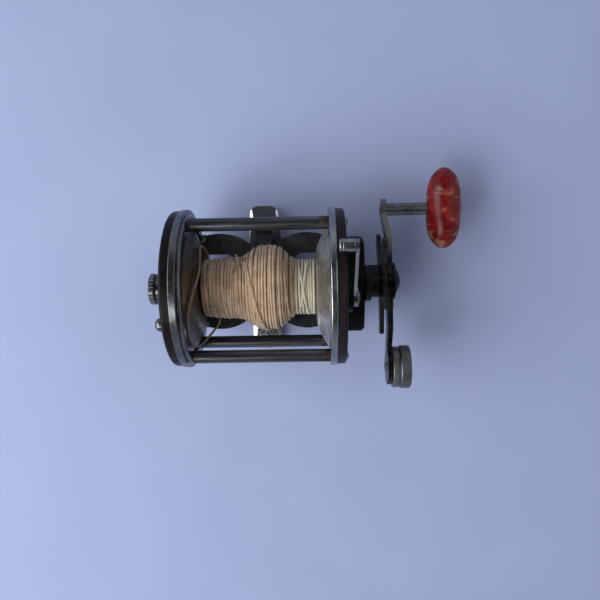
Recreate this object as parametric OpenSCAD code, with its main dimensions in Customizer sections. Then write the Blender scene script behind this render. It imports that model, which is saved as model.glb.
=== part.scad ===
// Conventional star-drag fishing reel, standing on its foot.
// X runs along the spool towards the crank, Y towards the rod tip, Z up.
// The origin is the middle of the foot's underside. Sizes are in millimetres.

/* [Frame] */
// Outer diameter of the end rings
ring_d = 80; // [78:1:92]
// Width of an end ring along the spool axis
ring_w = 3.3; // [2.6:0.1:5]
// Step from the end ring down to the left inner ring
inner_ring_step = 2.2; // [1:0.1:3]
// Width of the left inner ring
inner_ring_w = 1.8; // [1.4:0.1:2.6]
// Left flange face to the left end of the pillars
left_margin = 4.5; // [3.5:0.1:6]
// Right flange face to the right end of the pillars
right_margin = 6.9; // [5.5:0.1:8]
// Pillar diameter
pillar_d = 6.4; // [5.4:0.1:7.4]
// Ring edge to the middle of a pillar
pillar_inset = 4.7; // [4.2:0.1:5.5]
// Angle of the upper pillars above the spool axis
upper_pillar_angle = 22.5; // [18:0.5:30]
// Angle of the lower pillars below the spool axis
lower_pillar_angle = 26; // [20:0.5:32]

/* [Side plates] */
// Step from the ring edge down to the rim of a side plate
plate_step = 0.7; // [0.4:0.1:1.5]
// Thickness of the left side plate
left_plate_w = 4.6; // [3.8:0.1:5.4]
// Thickness of the right side plate
right_plate_w = 4.5; // [4:0.1:5.5]
// Radius of the rounded rim of a side plate
plate_edge = 1.4; // [0.6:0.1:1.8]
// Radius of the gear case
case_r = 24.6; // [24:0.1:25.4]
// Middle of the gear case below the spool axis
case_drop = 8; // [7.6:0.1:8.4]
// Height of the gear case above the right side plate
case_h = 10; // [9.6:0.1:12]
// Wall of the gear case
case_wall = 2.2; // [1.6:0.1:2.6]

/* [Stand and foot] */
// Sheet thickness of the stand
stand_t = 1.6; // [1.2:0.1:2]
// Half width of the stand across the tips of its arms
stand_half_w = 25.5; // [22:0.5:28]
// Half width of the windows between the stand arms
window_half_w = 14.5; // [11:0.5:16]
// Foot length along the rod
foot_len = 82; // [70:1:95]
// Foot width in the middle
foot_w = 21.5; // [19:0.5:24]
// Foot width near the tips
foot_tip_w = 16; // [13:0.5:18]
// Height of the foot under the stand
foot_h = 7; // [6:0.2:9]
// Thickness of the foot in the middle
foot_t = 3; // [2.4:0.1:3.6]

/* [Spool and line] */
// Distance between the flange faces at the line
spool_gap = 56.6; // [52:0.2:60]
// Radius where the flange dish begins
dish_start_r = 20.5; // [18:0.5:24]
// Sheet thickness of a flange
flange_t = 2; // [1.6:0.1:2.4]
// Radial running gap between a flange and its ring
flange_gap = 0.4; // [0.3:0.05:0.8]
// Spool shaft diameter
shaft_d = 5; // [4.6:0.1:5.4]
// Diameter of the line as wound
line_d = 1.7; // [1.4:0.1:1.8]
// Turns in the outer layer of line
line_turns_n = 23; // [18:1:23]
// Outer radius of the line at the left flange
line_left_r = 14.6; // [13:0.2:16]
// Outer radius of the line on the hump
line_hump_r = 21.6; // [18:0.2:23]
// Outer radius of the line at the right flange
line_right_r = 14.4; // [13:0.2:16]
// Diameter of the loose strand
strand_d = 1.2; // [0.8:0.1:1.4]

/* [Gears and drag] */
// Gear module
gear_module = 0.8; // [0.78:0.01:0.82]
// Teeth on the main gear
main_teeth = 30; // [30:1:30]
// Teeth on the pinion
pinion_teeth = 12; // [12:1:12]
// Face width of the main gear
gear_w = 4.5; // [3.6:0.1:5]
// Total play between meshing teeth
gear_play = 0.3; // [0.2:0.02:0.4]
// Radius of the star wheel tips
star_r = 29; // [24:0.5:29.5]
// Thickness of the star wheel
star_t = 2.2; // [1.8:0.1:2.4]
// Gear case to the star wheel
star_stand = 9.7; // [8.6:0.1:12]

/* [Crank] */
// Crank axis to the handle spindle
crank_r = 38.3; // [37:0.1:44]
// Crank axis to the counterweight
weight_r = 46; // [40:0.5:50]
// Thickness of the crank arm
arm_t = 2.6; // [2.2:0.1:3.4]
// Inward bend of the crank arm at the handle
arm_bend = 2.4; // [1.4:0.1:2.5]
// Inward bend of the crank arm at the counterweight
weight_bend = 0.8; // [0:0.1:1.2]
// Angle of the crank arm at rest
crank_rest = -9.3; // [-30:0.1:30]
// Spindle diameter outside the knob
spindle_d = 6.5; // [6:0.1:7.2]
// Free length of the spindle between arm and knob
spindle_free = 21.7; // [19:0.1:26]
// Knob length
knob_len = 43; // [38:0.5:48]
// Knob diameter in the middle
knob_d = 18.2; // [17:0.2:20]
// Radius of the rounded knob ends
knob_end_r = 6.2; // [5:0.1:7]
// Counterweight diameter
weight_d = 22.8; // [20:0.2:25]
// Counterweight length along the axis
weight_w = 9.4; // [8:0.1:11]

/* [Caps, lever and click] */
// Left bearing cap diameter
left_cap_d = 16; // [14:0.5:18]
// Right bearing cap diameter
right_cap_d = 15.6; // [13:0.2:17]
// Rim width of the left bearing cap
left_cap_w = 3; // [2.6:0.1:4]
// Left plate face to the rim of the left cap
left_cap_reach = 10.2; // [9.6:0.1:12.5]
// Lever pivot towards the front
lever_y = -3.5; // [-5:0.1:-2]
// Lever pivot above the spool axis
lever_z = 14.5; // [14.5:0.1:17]
// Lever knob diameter
lever_knob_d = 6; // [5:0.1:7]
// Lever knob length
lever_knob_len = 7.5; // [6:0.1:8.5]
// Angle of the lever knob about the spool axis at rest
lever_knob_angle = 57.8; // [52:0.1:64]
// Click button diameter
click_d = 6.6; // [5.6:0.1:7.6]
// Click button angle about the spool axis
click_angle = 117.4; // [105:0.1:125]
// Click button travel
click_travel = 4; // [2:0.1:4.4]
// Clutch travel of the pinion
clutch_travel = 2.5; // [2:0.1:2.6]

/* [Fits] */
// Radial gap of a running fit
run_gap = 0.06; // [0.02:0.01:0.1]
// Radial gap of a fixed fit
fixed_gap = 0.02; // [0.01:0.01:0.05]
// Gap between neighbours that move past each other
pass_gap = 0.3; // [0.2:0.05:0.4]

/* [Hidden] */
$fn = 96;

// Radii about the spool axis
ring_r = ring_d / 2;
plate_r = ring_r - plate_step;
pillar_circle_r = ring_r - pillar_inset;
bore_r = pillar_circle_r - pillar_d / 2 - 0.3;
flange_r = bore_r - flange_gap;
stand_r = ring_r - 2;
axis_h = stand_r + foot_h;
shaft_r = shaft_d / 2;
journal_r = shaft_r - 0.5;

// Stations along X
flange_x = spool_gap / 2;
left_reach = flange_x + left_margin;
right_reach = flange_x + right_margin;
ring_in_l = -left_reach - inner_ring_w;
ring_out_l = ring_in_l - ring_w;
plate_out_l = ring_out_l - left_plate_w;
ring_out_r = right_reach + ring_w;
plate_out_r = ring_out_r + right_plate_w;
case_out = plate_out_r + case_h;
case_in = case_out - 2;
case_clip_r = plate_r - 2.8;
case_top = 8.5;
case_top_r = 40;
ring_edge = 0.8;
left_ring_edge = 0.3;
left_rim = left_reach + 1.2;
right_rim = right_reach - 0.3;
rim_w = 2;

// Fasteners
screw_r = 1.5;
screw_head_r = 2.9;
screw_head_h = 1.3;
screw_grip = 6;
stand_screw_r = 1.2;
stand_screw_head_r = 2.4;
stand_screw_head_h = 1.6;
stand_screw_angles = [-110, -70];
pillar_angles = [
    upper_pillar_angle,
    180 - upper_pillar_angle,
    -lower_pillar_angle,
    180 + lower_pillar_angle
];

// Stand and foot
ear_angle = asin(stand_half_w / (stand_r - stand_t / 2));
hub_half_w = 8;
stand_arch_r = 26;
window_x = 30;
window_r = 17.5;
hub_half_l = 13;
foot_top_sag = 4.8;
foot_top_r = (pow(foot_w / 2, 2) + pow(foot_top_sag, 2)) / (2 * foot_top_sag);
foot_land = 1.5;
foot_hollow_half = foot_w / 2 - foot_land;
foot_hollow_sag = foot_h - foot_t - 0.2;
foot_hollow_r = (pow(foot_hollow_half, 2) + pow(foot_hollow_sag, 2)) / (2 * foot_hollow_sag);
foot_tip_h = foot_hollow_sag + 1.3;
foot_flat_half = 14;
foot_corner_r = 5;
rivet_r = 2;
rivet_head_r = 3.4;
rivet_head_h = 1.2;
rivet_pitch = 15;
rivet_seat_z = foot_h + stand_t;

// Bearings and caps
bush_wall = 1.9;
stub_r = journal_r + bush_wall + 1;
left_boss_r = 9.5;
left_boss_h = 3.5;
left_boss_x = plate_out_l - left_boss_h;
left_stub_x = left_boss_x - 4.5;
left_rim_x = plate_out_l - left_cap_reach;
left_neck_r = 6;
right_stub_x = case_out + 2.2;
right_cap_w = 3.2;
flute_n = 28;
flute_r = 0.45;

// Clutch and gears, stations along X
bridge_x = ring_out_r + 0.3;
bridge_t = 1.4;
bridge_top = bridge_x + bridge_t;
yoke_x = bridge_top + pass_gap;
yoke_t = 1;
groove_end = yoke_x + yoke_t + pass_gap;
pinion_len = 6.3;
pinion_hole_r = 5.4;
dog_bar_r = 4.5;
dog_bar_w = 3;
dog_bar_x = bridge_x - 0.5;
sleeve_x = bridge_top + 0.4;
sleeve_r = shaft_r + 1.7;
sleeve_flange_t = 0.8;
ratchet_x = sleeve_x + sleeve_flange_t;
ratchet_t = 1.2;
ratchet_r = 9.5;
under_washer_t = 0.4;
gear_x = ratchet_x + ratchet_t + under_washer_t;
gear_out = gear_x + gear_w;
drag_pocket_r = 9.6;
drag_washer_n = 3;
drag_washer_t = 0.8;
drag_stack = drag_washer_n * drag_washer_t;
spacer_r = sleeve_r + 2;
stud_r = shaft_r;
gear_centres = gear_module * (main_teeth + pinion_teeth) / 2;
crank_h = axis_h - gear_centres;
tooth_add = 0.8 * gear_module;
tooth_ded = 1.05 * gear_module;
pressure_angle = 25;
groove_r = gear_module * pinion_teeth / 2 - tooth_ded - 0.06;
post_r = 2.6;
function post_at(a, inset) = [(case_r - inset) * cos(a), (case_r - inset) * sin(a) - case_drop];
POSTS = [post_at(-14.5, 4.2), post_at(194.5, 4.2), post_at(-45, 3.9), post_at(225, 3.9)];
yoke_post_r = 1.2;
yoke_post_y = 10;
yoke_post_z = 1;
yoke_post_len = 6.8;
dog_pivot_r = 13.6;
dog_angle = 30;
dog_pin_r = 1.2;
dog_t = 1.2;
dog_leaf_len = 4.6;
dog_leaf_at = [dog_pivot_r - 2.8, 6.8, 0];

// Crank stack, stations along X
star_x = case_out + star_stand;
star_hub_t = star_t + 1.3;
collar_r = gear_centres - right_cap_d / 2 - pass_gap;
collar_x = case_out + pass_gap + 0.1;
star_hub_r = 9;
arm_x = star_x + star_hub_t + 0.3;
arm_out = arm_x + arm_t;
spacer_end = star_x - 0.1;
sleeve_end = arm_out + 3.4;
stud_end = arm_x - 1;
bend_start = 21;
bend_end = 36;
weight_bend_start = 24;
weight_bend_end = 36;
bend_steps = 10;
boss_r = 5.5;
arm_hub_r = 8.6;
arm_waist = 5.6;
weight_end_r = 9.3;
nut_flange_r = 9.9;
nut_flange_t = 1.5;
nut_across = 15;
nut_h = 4.5;
spindle_neck_r = 2.5;
boss_x = arm_x - arm_bend;
knob_x = boss_x + arm_t + spindle_free;
knob_mid_x = knob_x + knob_d / 2;
spindle_y = crank_r * cos(crank_rest);
spindle_h = crank_h + crank_r * sin(crank_rest);
weight_y = -weight_r * cos(crank_rest);
weight_h = crank_h - weight_r * sin(crank_rest);
weight_x = arm_out - weight_bend;

// Lever
lever_boss_r = 7.5;
lever_boss_h = 3;
lever_boss_x = plate_out_r + lever_boss_h;
lever_shaft_r = 3;
jack_r = 4.6;
jack_t = 1.3;
jack_x = bridge_x + 0.1;
lever_hub_r = 5;
lever_hub_x = lever_boss_x + pass_gap;
lever_arm_x = lever_hub_x + 0.3;
lever_arm_t = 1.5;
lever_hub_end = lever_arm_x + lever_arm_t + 1;
lever_knob_r = plate_r + lever_knob_d / 2 + 0.9;
lever_knob_y = lever_knob_r * cos(lever_knob_angle);
lever_knob_z = lever_knob_r * sin(lever_knob_angle);
lever_len = norm([lever_knob_y - lever_y, lever_knob_z - lever_z]);
lever_rest = atan2(lever_knob_z - lever_z, lever_knob_y - lever_y);
lever_knob_x = lever_arm_x - lever_knob_len;

// Click
click_r = bore_r - 2.5;
click_stem_r = 1.5;
click_head_h = 4.9;
click_ratchet_r = 11.5;
click_ratchet_teeth = 16;
click_ratchet_t = 1.2;
click_pawl_t = 1.2;
click_pawl_x = ring_out_l + pass_gap;
click_leaf_len = 11;
click_leaf_gap = 3.2;
click_tip_r = click_ratchet_r + 0.5 + click_travel;
spool_end_l = ring_out_l + 0.5;
spool_end_r = bridge_x - 1.2;
spool_hub_r = 6;

// Loose strand: outwards from the left flange face, then Y and height over the spool axis
STRAND = [
    [7.3, -15.8, 0.5],
    [6.8, -18.4, 0.5],
    [4.3, -21.6, 0.8],
    [1.3, -25, 2],
    [-1.3, -27.6, 5],
    [-3, -28.4, 9.5],
    [-3.9, -26.4, 15],
    [-4.1, -22.4, 20.4],
    [-4.1, -17.4, 24.4],
    [-3.9, -11.6, 27.2],
    [-3, -6.4, 27.6],
    [-2, -1.8, 26.2],
    [-0.9, 2.6, 24.2],
    [0.3, 6.6, 21.6],
    [1, 10.4, 18.6],
    [1, 14, 16],
    [0.7, 17.4, 13.2],
    [0.3, 20.4, 9.8],
    [0.1, 21.8, 6],
    [0.9, 21, 3],
    [2.1, 18.6, 1.6],
    [2.7, 15.8, 1.2]
];
strand_scale = flange_r / 31.4;
strand_rings_per_step = 3;

CHROME = "#8d9090";
RESIN = "#2a211e";
BRASS = "#a58a55";
STEEL = "#6f7072";
LINE = "#c9ab8b";
FIBRE = "#4a3b2e";

// Placing

// Local X, Y and Z become Y, Z and X about the spool axis
module on_axis(x) {
    translate([x, 0, axis_h]) rotate([90, 0, 90]) children();
}

// The same about the crank axis
module on_crank(x) {
    translate([x, 0, crank_h]) rotate([90, 0, 90]) children();
}

// The same about the lever pivot
module on_lever(x) {
    translate([x, lever_y, axis_h + lever_z]) rotate([90, 0, 90]) children();
}

// The same about the spindle of the handle
module on_spindle(x) {
    translate([x, spindle_y, spindle_h]) rotate([90, 0, 90]) children();
}

// The same about the counterweight
module on_weight(x) {
    translate([x, weight_y, weight_h]) rotate([90, 0, 90]) children();
}

module at_polar(r, a) {
    translate([r * cos(a), r * sin(a), 0]) children();
}

module tube(r_out, r_in, h) {
    difference() {
        cylinder(r = r_out, h = h);
        translate([0, 0, -1]) cylinder(r = r_in, h = h + 2);
    }
}

// Band of revolution whose two outer corners are rounded
module rounded_band(r_in, r_out, w, edge) {
    rotate_extrude() union() {
        translate([r_in, 0]) square([r_out - edge - r_in, w]);
        translate([r_in, edge]) square([r_out - r_in, w - 2 * edge]);
        translate([r_out - edge, edge]) circle(r = edge);
        translate([r_out - edge, w - edge]) circle(r = edge);
    }
}

// Disc whose corner at the far face is rounded
module rounded_disc(r, h, edge) {
    rotate_extrude() intersection() {
        union() {
            square([r - edge, h]);
            square([r, h - edge]);
            translate([r - edge, h - edge]) circle(r = edge);
        }
        square([r, h]);
    }
}

// Low dome on a short cylinder
module domed_head(r, h) {
    ball = (r * r + h * h) / (2 * h);
    intersection() {
        cylinder(r = r, h = h);
        translate([0, 0, h - ball]) sphere(r = ball);
    }
}

// Fluted rim of a bearing cap
module fluted_disc(r, h, edge) {
    difference() {
        rounded_band(0, r, h, edge);
        for (i = [0 : flute_n - 1])
            at_polar(r + flute_r * 0.35, i * 360 / flute_n)
                translate([0, 0, -1]) cylinder(r = flute_r, h = h + 2, $fn = 24);
    }
}

// Frame

module side_plate_holes(x, h) {
    for (a = pillar_angles)
        on_axis(x) at_polar(pillar_circle_r, a) cylinder(r = screw_r + fixed_gap * 3, h = h);
}

// Slot for the click stem, along its travel
module click_slot(half_w) {
    rotate(click_angle) union() {
        translate([click_r, 0]) circle(r = half_w);
        translate([click_r - click_travel, 0]) circle(r = half_w);
        translate([click_r - click_travel, -half_w]) square([click_travel, 2 * half_w]);
    }
}

module left_side_plate() {
    color(RESIN) difference() {
        union() {
            on_axis(ring_out_l) mirror([0, 0, 1]) rounded_disc(plate_r, left_plate_w, plate_edge);
            on_axis(plate_out_l) mirror([0, 0, 1]) rounded_disc(left_boss_r, left_boss_h, 1);
            on_axis(left_stub_x) cylinder(r = stub_r, h = left_boss_x - left_stub_x + 1);
        }
        on_axis(left_stub_x - 1) cylinder(r = journal_r + bush_wall + fixed_gap, h = 30);
        on_axis(plate_out_l - 0.6) rotate_extrude()
            translate([plate_r - 9, 0]) square([3, 1.2]);
        on_axis(plate_out_l - 1) linear_extrude(left_plate_w + 2) click_slot(click_stem_r + 0.2);
        side_plate_holes(plate_out_l - 1, left_plate_w + 2);
    }
}

// Outline of the gear case, drawn in by a wall
module case_outline(wall) {
    intersection() {
        translate([0, -case_drop]) circle(r = case_r - wall);
        translate([0, case_top - case_top_r]) circle(r = case_top_r - wall);
        circle(r = case_clip_r - wall);
    }
}

module right_side_plate() {
    color(RESIN) difference() {
        union() {
            on_axis(ring_out_r) rounded_disc(plate_r, right_plate_w, plate_edge);
            on_axis(plate_out_r - 1) linear_extrude(case_h) case_outline(0);
            on_axis(plate_out_r - 1) linear_extrude(case_h + 1) case_outline(1);
            on_axis(case_out - 1) cylinder(r = stub_r, h = right_stub_x - case_out + 1);
            on_lever(plate_out_r - 1) cylinder(r = lever_boss_r, h = lever_boss_h + 1);
        }
        difference() {
            on_axis(ring_out_r - 1) linear_extrude(case_in - ring_out_r + 1) case_outline(case_wall);
            for (p = POSTS)
                on_axis(bridge_top) translate(p) cylinder(r = post_r, h = 30);
        }
        for (p = POSTS)
            on_axis(bridge_top - 1) translate(p) cylinder(r = screw_r + fixed_gap * 3, h = 30);
        on_axis(case_in - 1) cylinder(r = journal_r + bush_wall + fixed_gap, h = 30);
        on_crank(case_in - 1) cylinder(r = spacer_r + run_gap, h = 5);
        on_lever(ring_out_r - 1) cylinder(r = jack_r + 0.4, h = bridge_top - ring_out_r + 1 + pass_gap);
        on_lever(ring_out_r - 1) cylinder(r = lever_shaft_r + run_gap, h = 20);
        translate([ring_out_r - 1, lever_y - 3.5, axis_h + 5])
            cube([yoke_x + yoke_t + clutch_travel + 0.4 - ring_out_r + 1, 7, lever_z - 8]);
        side_plate_holes(ring_out_r - 1, right_plate_w + 2);
    }
}

// Screw holes through a ring, for the pillars and, countersunk, for the stand
module ring_holes(x, h) {
    side_plate_holes(x - 1, h + 2);
    for (a = stand_screw_angles)
        on_axis(x - 1) at_polar(pillar_circle_r, a)
            cylinder(r = stand_screw_r + fixed_gap * 3, h = h + 2);
}

module stand_screw_seats(x) {
    for (a = stand_screw_angles)
        on_axis(x) at_polar(pillar_circle_r, a)
            cylinder(r = stand_screw_head_r + 0.1, h = stand_screw_head_h + 1);
}

module left_ring() {
    color(CHROME) difference() {
        on_axis(ring_out_l) rounded_band(bore_r, ring_r, ring_w, left_ring_edge);
        ring_holes(ring_out_l, ring_w);
        stand_screw_seats(ring_out_l - 1);
    }
}

// Rounded shoulder between the left ring and the pillars
module left_inner_ring() {
    shoulder = inner_ring_w - 0.4;
    color(CHROME) difference() {
        on_axis(ring_in_l) rotate_extrude() difference() {
            union() {
                translate([bore_r, 0]) square([ring_r - inner_ring_step - shoulder - bore_r, inner_ring_w]);
                translate([bore_r, 0]) square([ring_r - inner_ring_step - bore_r, 0.4]);
                translate([ring_r - inner_ring_step - shoulder, 0.4]) circle(r = shoulder);
            }
            translate([bore_r - 1, -5]) square([20, 5]);
        }
        ring_holes(ring_in_l, inner_ring_w);
    }
}

module right_ring() {
    color(CHROME) difference() {
        on_axis(right_reach) rounded_band(bore_r, ring_r, ring_w, ring_edge);
        ring_holes(right_reach, ring_w);
        stand_screw_seats(ring_out_r - stand_screw_head_h);
    }
}

// Pillar with a tapped hole in each end
module pillar(a) {
    color(CHROME) on_axis(-left_reach) at_polar(pillar_circle_r, a) difference() {
        cylinder(r = pillar_d / 2, h = left_reach + right_reach);
        translate([0, 0, -1]) cylinder(r = screw_r + fixed_gap, h = screw_grip + 1.5);
        translate([0, 0, left_reach + right_reach - screw_grip - 0.5])
            cylinder(r = screw_r + fixed_gap, h = screw_grip + 1.5);
    }
}

// Slotted screw along +X from the face of its head
module plate_screw(grip) {
    difference() {
        union() {
            cylinder(r = screw_r, h = grip);
            mirror([0, 0, 1]) domed_head(screw_head_r, screw_head_h);
        }
        translate([-screw_head_r - 1, -0.35, -screw_head_h - 1])
            cube([2 * screw_head_r + 2, 0.7, 1.6]);
    }
}

module left_plate_screws() {
    color(CHROME) for (a = pillar_angles)
        on_axis(plate_out_l) at_polar(pillar_circle_r, a)
            plate_screw(-left_reach + screw_grip - plate_out_l);
}

module right_plate_screws() {
    color(CHROME) for (a = pillar_angles)
        on_axis(plate_out_r) at_polar(pillar_circle_r, a)
            mirror([0, 0, 1]) plate_screw(plate_out_r - right_reach + screw_grip);
}

// Stand and foot

// Plan of the stand: four rounded arms and a hub, with a window each side
module stand_plan() {
    beyond = foot_len;
    difference() {
        union() {
            translate([-hub_half_w - 2, -hub_half_l - 4])
                square([2 * hub_half_w + 4, 2 * hub_half_l + 8]);
            for (side = [-1, 1], end = [-1, 1])
                translate([side * 24, end * (stand_half_w - stand_arch_r)]) circle(r = stand_arch_r);
        }
        for (side = [-1, 1])
            intersection() {
                translate([side * window_x, 0]) circle(r = window_r);
                translate([side * window_x - beyond, -window_half_w]) square([2 * beyond, 2 * window_half_w]);
            }
        for (side = [-1, 1])
            translate([side > 0 ? right_reach : -left_reach - beyond, -beyond]) square([beyond, 2 * beyond]);
    }
}

// Ear that lies flat against a ring
module stand_ear(x) {
    reach = 2 * stand_r;
    on_axis(x) intersection() {
        tube(stand_r, bore_r + 0.3, stand_t);
        linear_extrude(stand_t)
            polygon([
                [0, 0],
                [-reach * sin(ear_angle), -reach * cos(ear_angle)],
                [reach * sin(ear_angle), -reach * cos(ear_angle)]
            ]);
    }
}

module foot_crown(r) {
    translate([0, 0, foot_h - foot_top_r]) rotate([90, 0, 0])
        cylinder(r = r, h = foot_len + 10, center = true);
}

module stand() {
    color(CHROME) difference() {
        union() {
            intersection() {
                on_axis(-left_reach) tube(stand_r, stand_r - stand_t, left_reach + right_reach);
                linear_extrude(axis_h) stand_plan();
            }
            stand_ear(-left_reach);
            stand_ear(right_reach - stand_t);
            translate([-hub_half_w, -hub_half_l, foot_h - 3])
                cube([2 * hub_half_w, 2 * hub_half_l, 3 + stand_t]);
        }
        foot_crown(foot_top_r + fixed_gap);
        for (side = [-1, 1])
            translate([0, side * rivet_pitch / 2, -1]) cylinder(r = rivet_r + fixed_gap, h = 30);
        for (side = [-1, 1])
            translate([0, side * rivet_pitch / 2, rivet_seat_z]) cylinder(r = rivet_head_r + 0.2, h = 9);
        for (a = stand_screw_angles)
            on_axis(-left_reach - 1) at_polar(pillar_circle_r, a)
                cylinder(r = stand_screw_r + fixed_gap, h = stand_t + 2);
        for (a = stand_screw_angles)
            on_axis(right_reach - stand_t - 1) at_polar(pillar_circle_r, a)
                cylinder(r = stand_screw_r + fixed_gap, h = stand_t + 2);
    }
}

module stand_screw(grip) {
    cylinder(r = stand_screw_head_r, h = stand_screw_head_h);
    cylinder(r = stand_screw_r, h = grip);
}

module stand_screws() {
    color(CHROME) for (a = stand_screw_angles) {
        on_axis(ring_out_l) at_polar(pillar_circle_r, a)
            stand_screw(-left_reach + stand_t - ring_out_l);
        on_axis(ring_out_r) at_polar(pillar_circle_r, a)
            mirror([0, 0, 1]) stand_screw(ring_w + stand_t);
    }
}

// Plan of the foot: widest in the middle, round at the corners of its tips
module foot_plan() {
    tip = foot_len / 2;
    corner = foot_tip_w / 2 - foot_corner_r;
    shoulder = tip - foot_corner_r;
    union() {
        polygon([
            [-foot_w / 2, 0],
            [-foot_tip_w / 2, -shoulder],
            [foot_tip_w / 2, -shoulder],
            [foot_w / 2, 0],
            [foot_tip_w / 2, shoulder],
            [-foot_tip_w / 2, shoulder]
        ]);
        translate([-corner, -tip]) square([2 * corner, 2 * tip]);
        for (side = [-1, 1], edge = [-1, 1])
            translate([edge * corner, side * shoulder]) circle(r = foot_corner_r);
    }
}

// Saddle that slides into a reel seat: crowned above, hollow below, thin at the tips
module foot() {
    tip = foot_len / 2;
    color(CHROME) difference() {
        intersection() {
            linear_extrude(foot_h) foot_plan();
            foot_crown(foot_top_r);
            rotate([90, 0, 90]) linear_extrude(foot_w + 2, center = true)
                polygon([
                    [-tip, 0],
                    [tip, 0],
                    [tip, foot_tip_h],
                    [foot_flat_half, foot_h],
                    [-foot_flat_half, foot_h],
                    [-tip, foot_tip_h]
                ]);
        }
        translate([0, 0, foot_hollow_sag - foot_hollow_r]) rotate([90, 0, 0])
            cylinder(r = foot_hollow_r, h = foot_len + 10, center = true);
        for (side = [-1, 1])
            translate([0, side * rivet_pitch / 2, -1]) cylinder(r = rivet_r + fixed_gap, h = 30);
    }
}

module foot_rivets() {
    color(CHROME) for (side = [-1, 1])
        translate([0, side * rivet_pitch / 2, rivet_seat_z]) {
            mirror([0, 0, 1]) cylinder(r = rivet_r, h = foot_t + stand_t - 0.4);
            domed_head(rivet_head_r, rivet_head_h);
        }
}

// Bearings, bridge and small fixed pieces

module left_bearing_bush() {
    color(BRASS) on_axis(left_stub_x)
        tube(journal_r + bush_wall, journal_r + run_gap, ring_out_l - 0.2 - left_stub_x);
}

module right_bearing_bush() {
    color(BRASS) on_axis(case_in + 0.2)
        tube(journal_r + bush_wall, journal_r + run_gap, right_stub_x - 0.1 - case_in - 0.2);
}

module bridge_outline() {
    intersection() {
        case_outline(case_wall + 0.25);
        union() {
            polygon([POSTS[0], POSTS[1], POSTS[3], POSTS[2]]);
            translate([0, -gear_centres]) circle(r = 11);
            circle(r = 8);
            translate([-10, -gear_centres]) square([20, gear_centres]);
            for (p = POSTS) translate(p) circle(r = 3.2);
            translate([-yoke_post_y, yoke_post_z - 2.6]) square([2 * yoke_post_y, 5.2]);
            for (side = [-1, 1])
                translate([side * yoke_post_y, yoke_post_z]) circle(r = 2.6);
            translate([0, -gear_centres]) rotate(dog_angle) translate([dog_pivot_r, 0]) circle(r = 3);
        }
    }
}

module bridge_plate() {
    color(BRASS) difference() {
        on_axis(bridge_x) linear_extrude(bridge_t) bridge_outline();
        on_axis(bridge_x - 1) cylinder(r = pinion_hole_r, h = bridge_t + 2);
        on_crank(bridge_x - 1) cylinder(r = stud_r + fixed_gap, h = bridge_t + 2);
        for (p = POSTS)
            on_axis(bridge_x - 1) translate(p) cylinder(r = screw_r + fixed_gap, h = bridge_t + 2);
        for (side = [-1, 1])
            on_axis(bridge_x - 1) translate([side * yoke_post_y, yoke_post_z])
                cylinder(r = yoke_post_r + fixed_gap, h = bridge_t + 2);
        on_crank(bridge_x - 1) at_polar(dog_pivot_r, dog_angle)
            cylinder(r = dog_pin_r + fixed_gap, h = bridge_t + 2);
    }
}

module bridge_screws() {
    color(CHROME) for (p = POSTS)
        on_axis(case_out) translate(p) mirror([0, 0, 1]) plate_screw(case_out - bridge_x);
}

module gear_stud() {
    color(STEEL) union() {
        on_crank(bridge_x) cylinder(r = stud_r, h = stud_end - bridge_x);
        on_crank(bridge_x - 0.5) cylinder(r = stud_r + 1.5, h = 0.5);
    }
}

module yoke_posts() {
    color(STEEL) for (side = [-1, 1])
        on_axis(bridge_x) translate([side * yoke_post_y, yoke_post_z])
            cylinder(r = yoke_post_r, h = bridge_t + yoke_post_len);
}

module dog_pin() {
    color(STEEL) on_crank(bridge_x) at_polar(dog_pivot_r, dog_angle)
        cylinder(r = dog_pin_r, h = gear_x - 0.1 - bridge_x);
}

// Leaf that stands on the bridge behind the dog
module dog_spring() {
    color(STEEL) on_crank(bridge_top) rotate(dog_angle) translate(dog_leaf_at) union() {
        cylinder(r = 0.9, h = 1.6);
        rotate(-40) translate([0, -0.3, 0]) cube([dog_leaf_len, 0.6, 1.6]);
    }
}

// Two leaves that hold the click pawl between them
module click_spring() {
    color(STEEL) on_axis(ring_out_l) rotate(click_angle) for (side = [-1, 1])
        translate([click_r - click_leaf_len - 2, side * click_leaf_gap, 0]) union() {
            cylinder(r = 1, h = 1.6);
            translate([0, -0.3, 0.2]) cube([click_leaf_len, 0.6, 1.4]);
        }
}

// Spool and line

module spool() {
    color(CHROME) difference() {
        on_axis(0) rotate_extrude()
            polygon([
                [0, spool_end_l],
                [spool_hub_r, spool_end_l],
                [spool_hub_r, -flange_x - flange_t],
                [dish_start_r + 0.6, -flange_x - flange_t],
                [flange_r - 1.4, -left_rim - rim_w],
                [flange_r, -left_rim - rim_w],
                [flange_r, -left_rim],
                [flange_r - 1.2, -left_rim + 0.6],
                [dish_start_r, -flange_x],
                [8, -flange_x],
                [8, flange_x],
                [dish_start_r, flange_x],
                [flange_r - 1.2, right_rim - 0.6],
                [flange_r, right_rim],
                [flange_r, right_rim + rim_w],
                [flange_r - 1.4, right_rim + rim_w],
                [dish_start_r + 0.6, flange_x + flange_t],
                [spool_hub_r, flange_x + flange_t],
                [spool_hub_r, spool_end_r],
                [0, spool_end_r]
            ]);
        on_axis(spool_end_l - 1) cylinder(r = shaft_r + fixed_gap, h = spool_end_r - spool_end_l + 2);
    }
}

// Shaft with a journal at each end and the bar that the pinion grips
module spool_shaft() {
    color(STEEL) union() {
        on_axis(left_stub_x + 0.5) cylinder(r = journal_r, h = right_stub_x - left_stub_x - 1);
        on_axis(ring_out_l + 0.2) cylinder(r = shaft_r, h = case_in - 0.6 - ring_out_l - 0.2);
        on_axis(dog_bar_x) translate([-dog_bar_r, -dog_bar_w / 2, 0])
            cube([2 * dog_bar_r, dog_bar_w, 1.6]);
    }
}

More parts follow.
